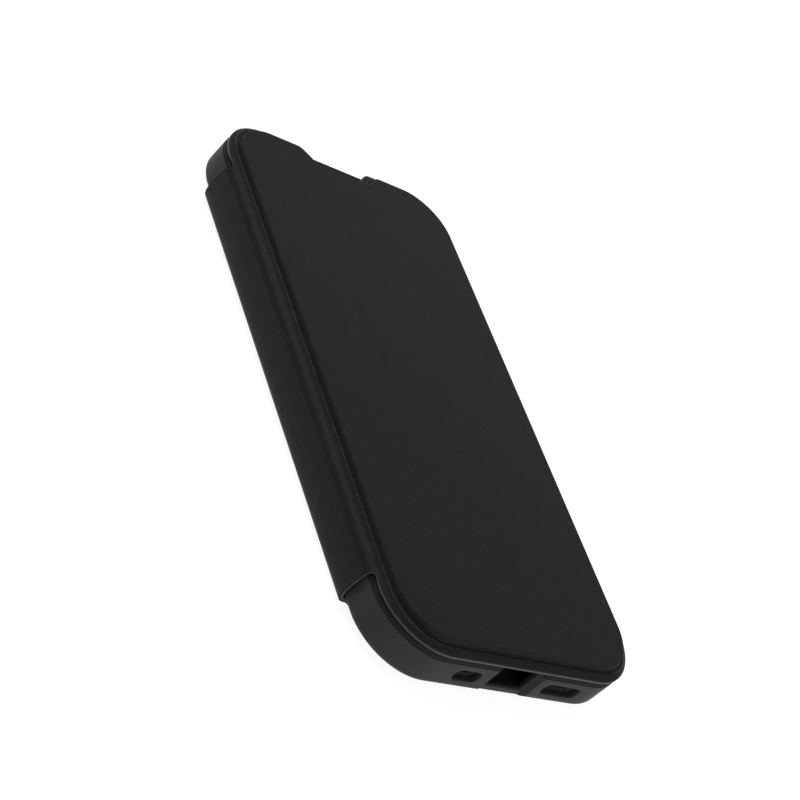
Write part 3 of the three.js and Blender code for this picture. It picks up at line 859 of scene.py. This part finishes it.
# The cover's cross-section, from the flat of the panel outwards: distance outside the panel's edge and
# height, of the outer face and then of the inner face.
COVER_SECTION = np.array((
    (-0.40, 13.80, -0.80, 13.42),
    (-0.22, 13.80, -0.60, 13.42),
    (-0.12, 13.785, -0.54, 13.40),
    (-0.04, 13.74, -0.50, 13.36),
    (0.01, 13.66, -0.47, 13.30),
    (0.04, 13.50, -0.45, 13.18),
    (0.07, 13.20, -0.42, 12.95),
    (0.11, 12.85, -0.38, 12.62),
    (0.16, 12.55, -0.32, 12.30),
    (0.22, 12.42, -0.26, 12.14),
    (0.30, 12.35, -0.12, 12.02),
    (0.42, 12.33, 0.12, 11.96),
    (0.55, 12.33, 0.40, 11.95),
    (0.66, 12.36, 0.60, 11.96),
    (0.74, 12.40, 0.72, 11.98),
    (0.82, 12.42, 0.82, 11.98),
))
FLANGE_SECTION = np.array((
    (0.95, 12.37, 0.95, 11.97),
    (1.20, 12.33, 1.18, 11.93),
    (1.50, 12.26, 1.46, 11.85),
    (1.80, 12.15, 1.76, 11.75),
    (2.05, 12.05, 2.01, 11.66),
    (2.25, 11.95, 2.21, 11.57),
    (2.42, 11.83, 2.38, 11.51),
    (2.50, 11.72, 2.50, 11.48),
))


def flat_distance(section):
    """How far each row lies outside the panel's edge once the skin is pressed flat."""
    steps = np.linalg.norm(np.diff(section[:, :2], axis=0), axis=1)
    return section[0, 0] + np.concatenate(([0], np.cumsum(steps)))


SKIN_SECTION = np.vstack((COVER_SECTION, FLANGE_SECTION))
SKIN_FLAT = flat_distance(SKIN_SECTION)
RIDGE_FOOT = len(COVER_SECTION)
STRIP_START = SKIN_FLAT[-1] - SKIN_FLAT[RIDGE_FOOT]


def ridge_pull(margin):
    """How much of the ridge's swell in the corners a row at that margin follows."""
    return float(ease((margin - 0.2) / 0.5) * (1 - ease((margin - 0.95) / 1.3)))


INNER_SHARES = (0.0, 0.35, 0.7, 0.9)


def cover_rings(section, spine_rows):
    """Rows of (points, flat places). spine_rows gives the section along the spine side, or None."""
    flat = flat_distance(section)
    rows = []
    middle_y = np.clip(COVER_BASE[:, 1], -PANEL_SPINE_Y, PANEL_SPINE_Y)
    middle = np.column_stack((np.zeros(COVER_COUNT), middle_y))
    first = COVER_BASE + section[0, 0] * COVER_OUTWARD
    for share in INNER_SHARES:
        place_2d = middle * (1 - share) + first * share
        rows.append((np.column_stack((place_2d, np.full(COVER_COUNT, section[0, 1]))), place_2d))
    for row, (margin, height) in enumerate(section[:, :2]):
        margins = margin + RIDGE_SWELL * ridge_pull(margin) * CORNER_SHARE
        heights = np.full(COVER_COUNT, height)
        if spine_rows is not None:
            margins = margins * (1 - SPINE_SHARE) + (-spine_rows[row][0] - PANEL_HALF_WIDTH) * SPINE_SHARE
            heights = heights * (1 - SPINE_SHARE) + spine_rows[row][1] * SPINE_SHARE
        points = np.column_stack((COVER_BASE + margins[:, None] * COVER_OUTWARD, heights))
        rows.append((points, COVER_BASE + flat[row] * COVER_OUTWARD))
    return rows


def ear_squeeze(y, distance):
    """Pulls the ears in to the spine's straight cut over a small round."""
    ear = np.abs(y).max() - SPINE_HALF_LENGTH
    left_over = 1 - np.clip(distance / CUT_ROUND, 0, 1)
    reach = ear * (1 - math.sqrt(max(0.0, 1 - left_over ** 2)))
    free = 4.0
    anchor = SPINE_HALF_LENGTH - free
    size = np.abs(y)
    pulled = anchor + (size - anchor) * (free + reach) / (free + ear)
    return np.sign(y) * np.where(size > anchor, pulled, size)


def sheet_faces(ring_count, strip_rows):
    """Faces of the cover's rings and of the strip that grows from its last one."""
    faces = ring_faces(ring_count, COVER_COUNT)
    above = (ring_count - 1) * COVER_COUNT + STRIP_COLUMNS
    total = ring_count * COVER_COUNT
    count = len(STRIP_COLUMNS)
    for row in range(strip_rows):
        below = total + row * count + np.arange(count)
        for i in range(count - 1):
            faces.append((above[i], above[i + 1], below[i + 1], below[i]))
        above = below
    return faces


def front_sheet(name, section, spine_rows, strip, material, smooth_angle=32):
    """The cover's sheet with its fold and half of the spine. strip has (distance, outer, inner depth)."""
    tops = cover_rings(section, [row[:2] for row in spine_rows])
    unders = cover_rings(section[:, 2:], [row[2:] for row in spine_rows])
    y = tops[-1][0][STRIP_COLUMNS, 1]
    top = [points for points, _ in tops]
    under = [points for points, _ in unders]
    pattern = [flat for _, flat in tops]
    edge = tops[-1][1][STRIP_COLUMNS, 0].min()
    for distance, outer_depth, inner_depth in strip[1:]:
        gone = distance - STRIP_START
        squeezed = ear_squeeze(y, gone)
        top.append(FRONT_FOLD.row(distance, squeezed, outer_depth))
        under.append(FRONT_FOLD.row(distance, squeezed, inner_depth))
        pattern.append(np.column_stack((np.full(len(y), edge - gone), squeezed)))
    faces = sheet_faces(len(tops), len(strip) - 1)
    layers = [np.vstack(layer) for layer in (top, under, pattern)]
    return thicken(name, layers, faces, material, smooth_angle)


def fold_steps():
    """Distances along the front fold: fine round the bend, coarser down the flat."""
    bend = np.linspace(STRIP_START, FRONT_BEND_LENGTH, 18)
    flat = np.linspace(FRONT_BEND_LENGTH, FRONT_FOLD.length[-1], 7)[1:]
    return np.concatenate((bend, flat))


def wrap_front_skin():
    """The skin of the cover, the front fold and half of the spine, in one sheet."""
    spine_rows = (SKIN_SECTION * (-1, 1, -1, 1) - (PANEL_HALF_WIDTH, 0, PANEL_HALF_WIDTH, 0)).tolist()
    for row in range(RIDGE_FOOT, len(SKIN_SECTION)):
        distance = SKIN_FLAT[row] - SKIN_FLAT[RIDGE_FOOT]
        spine_rows[row] = (*FRONT_FOLD.at([distance])[0], *FRONT_FOLD.at([distance], SKIN)[0])
    strip = [(distance, 0.0, SPINE_SKIN) for distance in fold_steps()]
    skin = front_sheet("wrap_skin_front", SKIN_SECTION, spine_rows, strip, SKIN_MATERIAL)
    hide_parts("cover_skin", "front_crease", "spine_skin")
    blend_front(skin)


LINING_SECTION = np.array([
    *((margin, LINING_TOP_Z, margin, LINING_LOW_Z) for margin in (-1.0, 0.8, 1.4, 1.8, 2.1, 2.35)),
    (2.46, LINING_TOP_Z, 2.42, LINING_LOW_Z + 0.01),
    (2.49, LINING_TOP_Z - 0.03, 2.49, LINING_LOW_Z + 0.07),
])


def pocket_depth(y):
    """Depth of the lining's outer face on the spine, with room for the stiffener except near the ends."""
    beside, run, stiffener_room = 0.2, 0.8, 0.26
    room = 1 - ease((np.abs(y) - STIFFENER_HALF_LENGTH - beside) / run)
    return SPINE_SKIN + LAYER_GAP + stiffener_room * room


def lining_depth(on_spine):
    """The same at a place that is that far from the cover or the back towards the spine, 0 to 1."""
    def depth(y):
        return (SKIN + LAYER_GAP) * (1 - on_spine) + pocket_depth(y) * on_spine

    return depth


def wrap_front_lining():
    """The lining of the cover, the front fold and half of the spine, in one sheet."""
    spine_rows = []
    for margin, top, low_margin, low in LINING_SECTION:
        share = float(ease((margin - 1.0) / 1.2))
        distance = max(0.0, STRIP_START - (FLANGE_MARGIN - margin))
        bent = FRONT_FOLD.at([distance, distance], (SKIN + LAYER_GAP, LINING_DEPTH)).ravel()
        flat_place = np.array((-PANEL_HALF_WIDTH - margin, top, -PANEL_HALF_WIDTH - low_margin, low))
        spine_rows.append(tuple(flat_place * (1 - share) + bent * share))
    strip = []
    for distance in fold_steps():
        on_spine = float(ease((distance - FRONT_BEND_LENGTH + 0.8) / 1.2))
        strip.append((distance, lining_depth(on_spine), LINING_DEPTH))
    lining = front_sheet("wrap_lining_front", LINING_SECTION, spine_rows, strip, LINING_MATERIAL, 40)
    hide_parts("cover_lining", "spine_lining")
    blend_front(lining)


def blend_front(piece):
    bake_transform(piece)


# -- the ridge line pressed into the cover
def edge_bead():
    """A thin pressed bead round the panel, rippled by the ribs of the cloth under it."""
    pitch, step, sides = 0.55, 0.11, 8
    radius, ripple, end_share, sunk = 0.11, 0.08, 0.3, 0.03
    path = COVER_BASE + (RIDGE_MARGIN + RIDGE_SWELL * CORNER_SHARE)[:, None] * COVER_OUTWARD
    loop = np.vstack((path, path[:1]))
    length = np.concatenate(([0], np.cumsum(np.linalg.norm(np.diff(loop, axis=0), axis=1))))
    total = length[-1]
    count = int(total / step)
    distance = np.arange(count) * total / count
    fine = np.column_stack([np.interp(distance, length, loop[:, i]) for i in (0, 1)])
    along = np.roll(fine, -1, axis=0) - np.roll(fine, 1, axis=0)
    along /= np.linalg.norm(along, axis=1)[:, None]
    outward = np.column_stack((along[:, 1], -along[:, 0]))
    size = radius + ripple * np.cos(2 * math.pi * distance / (total / round(total / pitch)))
    size *= end_share + (1 - end_share) * np.abs(outward[:, 0])
    rings = []
    for side in range(sides):
        angle = 2 * math.pi * side / sides
        flat = fine + outward * (size * math.cos(angle))[:, None]
        rings.append(np.column_stack((flat, RIDGE_Z - sunk + size * math.sin(angle))))
    points = np.vstack(rings)
    faces = hoop_faces(sides, count)
    pattern = np.vstack([fine] * sides)
    # The bead's cloth is painted lighter than the skin round it as a painted highlight.
    bead = new_piece("cover_edge_bead", points, faces, HIGHLIT_RIDGE_MATERIAL, pattern, 180, turn_out=True)
    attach(bead, "cover")


# -- back of the wrap
REAR_FOLD = Fold(bezier((MID_SPINE, (MID_SPINE[0], 2.2), (SPINE_X + 0.1, 0), (BACK_LEFT_X, 0)), 48))


def rear_strip(name, rows, material, nodes):
    """The wrap's strip from mid spine round the rear fold: rows of (distance, outer, inner depth)."""
    y = np.linspace(SPINE_HALF_LENGTH, -SPINE_HALF_LENGTH, SIDE_STEPS + 1)
    count = len(y)
    top, under, pattern = [], [], []
    for distance, outer_depth, inner_depth in rows:
        top.append(REAR_FOLD.row(distance, y, outer_depth))
        under.append(REAR_FOLD.row(distance, y, inner_depth))
        pattern.append(np.column_stack((np.full(count, SPINE_PLACE - distance), y)))
    faces = []
    for row in range(len(rows) - 1):
        for a in range(row * count, (row + 1) * count - 1):
            faces.append((a, a + 1, a + 1 + count, a + count))
    strip = thicken(name, [np.vstack(layer) for layer in (top, under, pattern)], faces, material)
    if nodes:
        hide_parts(*nodes)
    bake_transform(strip)


def wrap_rear():
    """The skin and the lining of the rear fold and of the spine's other half."""
    total = REAR_FOLD.length[-1]
    flat_end = MID_SPINE_Z - FOLD_RADIUS
    bend = np.linspace(flat_end, total, 20)
    distances = np.concatenate((np.linspace(0, flat_end, 5)[:-1], bend))
    rows = [(distance, 0.0, SPINE_SKIN) for distance in distances]
    rear_strip("wrap_skin_rear", rows, SKIN_MATERIAL, ("rear_crease",))
    lining_end = total - 0.25
    lead, run = 0.4, 1.2
    rows = []
    for distance in distances[distances < lining_end - 0.05].tolist() + [lining_end]:
        on_spine = 1 - float(ease((distance - flat_end + lead) / run))
        rows.append((distance, lining_depth(on_spine), LINING_DEPTH))
    rear_strip("wrap_lining_rear", rows, LINING_MATERIAL, ())


def back_outline(inset):
    """Rounded at its corners, with shoulders that keep the ends of its fold side under the tray."""
    radius = BACK_CORNER - inset
    right, end = BACK_RIGHT_X - inset, BACK_HALF_LENGTH - inset
    left = BACK_LEFT_X + inset
    bends = [
        arc(right - radius, -end + radius, radius, -90, 0, 24),
        arc(right - radius, end - radius, radius, 0, 90, 24),
        arc(left + BACK_SHOULDER + radius, end - radius, radius, 90, 180, 24),
        np.array(((left, SPINE_HALF_LENGTH),)),
        np.array(((left, -SPINE_HALF_LENGTH),)),
        arc(left + BACK_SHOULDER + radius, -end + radius, radius, 180, 270, 24),
    ]
    return closed_outline(bends, (80, 40, 6, 80, 6, 40))


def back_panel():
    """The back's skin, turned up round the board's edge."""
    profile = [(0.32, 0.0), (0.16, 0.03), (0.05, 0.11), (0.0, 0.25), (0.0, BOARD_TOP_Z - 0.05)]
    profile += [(0.06, BOARD_TOP_Z + 0.05), (0.16, BOARD_TOP_Z + 0.1)]
    profile += [(BACK_RIM, BOARD_TOP_Z + 0.1), (BACK_RIM, SKIN)]
    base = back_outline(0)
    beside_fold = 1 - ease((np.abs(base[:, 1]) - SPINE_HALF_LENGTH) / 1.5)
    beside_fold[base[:, 0] > 0] = 0
    rows = []
    for inset, height in profile:
        outline = back_outline(inset)
        outline = outline * (1 - beside_fold[:, None]) + base * beside_fold[:, None]
        low_height = 0.0 if inset == profile[0][0] else min(height, SKIN)
        rows.append(np.column_stack((outline, height * (1 - beside_fold) + low_height * beside_fold)))
    points = np.vstack(rows)
    pattern = points[:, :2] * (-1, 1) + (BACK_PLACE, 0)
    faces = capped_faces(len(rows), len(base))
    skin = new_piece("wrap_skin_back", points, faces, SKIN_MATERIAL, pattern, turn_out=True)
    hole_edge = camera_outline(BEZEL_FLANGE + BUTTON_GAP)
    hole = loft("back_hole", [(hole_edge, -BEYOND), (hole_edge, RIM_Z)], SKIN_MATERIAL)
    carve(skin, [hole])
    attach(skin, "tray")
    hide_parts("back_skin")


# -- card pockets
def pocket_sheet(node):
    """One sheet of the card pockets: rolled edges and a thumb notch in its mouth."""
    low, high = span(node)
    half_width, half_length = (high - low)[:2] / 2
    middle = np.array((0, (low[1] + high[1]) / 2))
    edge = 0.05

    def outline(inset):
        size = (half_width - inset, half_length - inset, POCKET_CORNER - inset)
        return rounded_rectangle(*size, 12, 40, 60) + middle

    rows = [(outline(edge), low[2]), (outline(0), low[2] + edge)]
    rows += [(outline(0), high[2] - edge), (outline(edge), high[2])]
    sheet = loft(node + "_leaf", rows, POCKET_MATERIAL)
    thumb = rounded_rectangle(THUMB_RADIUS, THUMB_RADIUS, THUMB_RADIUS, 16, 2, 2)
    thumb += (0, high[1] + THUMB_RISE)
    cutter = loft("thumb_notch", [(thumb, low[2] - 1), (thumb, high[2] + 1)], POCKET_MATERIAL)
    carve(sheet, [cutter])
    planar_pattern(sheet)
    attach(sheet, "cover")
    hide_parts(node)
    stitches(node, half_width, half_length, middle[1], low[2])


def planar_pattern(piece):
    mesh = piece.data
    layer = mesh.uv_layers.new(name="FlatPattern")
    for loop, corner in zip(mesh.loops, layer.data):
        corner.uv = mesh.vertices[loop.vertex_index].co.xy / MM


def stitches(node, half_width, half_length, middle_y, low_z):
    """A row of thread stitches down both sides and along the closed end of a pocket sheet."""
    work = bmesh.new()
    x_line = half_width - STITCH_INSET
    y_low = middle_y - half_length + STITCH_INSET
    y_high = middle_y + half_length - STITCH_INSET - 1.5
    places = []
    for side in (-1, 1):
        for y in np.arange(y_low + POCKET_CORNER, y_high, STITCH_PITCH):
            places.append((side * x_line, y, math.pi / 2))
    for x in np.arange(-x_line + POCKET_CORNER, x_line - POCKET_CORNER + 0.1, STITCH_PITCH):
        places.append((x, y_low, 0.0))
    flatten = Matrix.Diagonal((STITCH_LENGTH / 2, STITCH_THICKNESS, STITCH_THICKNESS * 0.5, 1.0))
    for x, y, turn in places:
        rotate = Matrix.Rotation(turn + STITCH_SLANT, 4, "Z")
        at = Matrix.Translation((x, y, low_z - 0.01))
        bmesh.ops.create_icosphere(work, subdivisions=2, radius=1.0, matrix=at @ rotate @ flatten)
    work.verts.index_update()
    points = [tuple(vertex.co) for vertex in work.verts]
    faces = [[vertex.index for vertex in face.verts] for face in work.faces]
    work.free()
    thread = new_piece(node + "_stitches", points, faces, THREAD_MATERIAL, smooth_angle=180)
    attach(thread, "cover")


# -- hidden pieces keep their CAD shape
def dress_hidden_nodes():
    for material, nodes in (
        (BOARD_MATERIAL, ("back_board", "spine_stiffener", "cover_board")),
        (FOAM_MATERIAL, ("cover_pad",)),
        (ADHESIVE_MATERIAL, ("back_adhesive",)),
        (MAGNET_MATERIAL, ("tray_magnet_upper", "tray_magnet_lower")),
        (MAGNET_MATERIAL, ("cover_magnet_upper", "cover_magnet_lower")),
    ):
        for node in nodes:
            for material_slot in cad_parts[node].material_slots:
                material_slot.material = material


# -- studio, in metres
FLOOR_RADIUS = 4.0
FLOOR_SIDES = 64
FLOOR_Z = -0.0003
FLOOR_GLOW = 0.9
WORLD_STRENGTH = 0.45
CASE_MIDDLE = (0, 0, 0.01)
CAMERA_PLACE = (-0.2800, -0.2306, 0.2058)
CAMERA_RIGHT = (0.7062, -0.2960, 0.6432)
CAMERA_UP = (-0.2167, 0.7745, 0.5944)
SENSOR_WIDTH = 36
FOCAL_LENGTH = 79.655


def soft_light(name, position, size, power):
    """A rectangular lamp that faces the case, in watts."""
    light = bpy.data.lights.new(name, "AREA")
    light.shape = "RECTANGLE"
    light.size, light.size_y = size
    light.energy = power
    lamp = add(name, light)
    lamp.location = position
    lamp.visible_camera = False
    direction = Vector(CASE_MIDDLE) - lamp.location
    lamp.rotation_euler = direction.to_track_quat("-Z", "Y").to_euler()


def floor():
    """A disc of pale paper with a soft glow, just under the case."""
    angles = np.linspace(0, 2 * math.pi, FLOOR_SIDES, endpoint=False)
    points = [(FLOOR_RADIUS * math.cos(a), FLOOR_RADIUS * math.sin(a), FLOOR_Z) for a in angles]
    mesh = bpy.data.meshes.new("floor")
    mesh.from_pydata(points, [], [tuple(range(FLOOR_SIDES))])
    shader = Shader("floor_paper", roughness=0.9, specular=0.1)
    shader.colours(shader.noise(size=400), grey(0.23), grey(0.25))
    shader.surface.inputs["Emission Color"].default_value = (1, 1, 1, 1)
    shader.surface.inputs["Emission Strength"].default_value = FLOOR_GLOW
    mesh.materials.append(shader.material)
    plane = add("floor", mesh)


def studio():
    floor()
    world = bpy.data.worlds.new("studio")
    world.use_nodes = True
    background = world.node_tree.nodes["Background"]
    background.inputs["Color"].default_value = (1, 1, 1, 1)
    background.inputs["Strength"].default_value = WORLD_STRENGTH
    bpy.context.scene.world = world
    bpy.context.scene.view_settings.view_transform = "Standard"
    soft_light("fold_light", (-0.39, 0.78, 1.09), size=(0.5, 0.5), power=9)
    soft_light("panel_light", (1.08, 0.89, 0.77), size=(1.2, 0.8), power=0.9)
    soft_light("front_light", (0.35, -1.25, 0.25), size=(0.8, 0.4), power=6)


def camera():
    """A long lens over the cover's lower left corner, rolled so that the case leans."""
    right = Vector(CAMERA_RIGHT).normalized()
    up = Vector(CAMERA_UP)
    up = (up - right * up.dot(right)).normalized()
    back = right.cross(up)
    data = bpy.data.cameras.new("camera")
    data.sensor_width = SENSOR_WIDTH
    data.lens = FOCAL_LENGTH
    data.clip_start = 0.01
    data.clip_end = 20
    view = add("camera", data)
    turn = Matrix((right, up, back)).transposed().to_4x4()
    view.matrix_world = Matrix.Translation(CAMERA_PLACE) @ turn
    bpy.context.scene.camera = view


# -- assembly
camera()
studio()
outer_shell()
screen_bumper()
tray_pad()
camera_bezel()
buttons()
wrap_front_skin()
wrap_front_lining()
edge_bead()
wrap_rear()
back_panel()
pocket_sheet("card_pocket_upper")
pocket_sheet("card_pocket_lower")
dress_hidden_nodes()
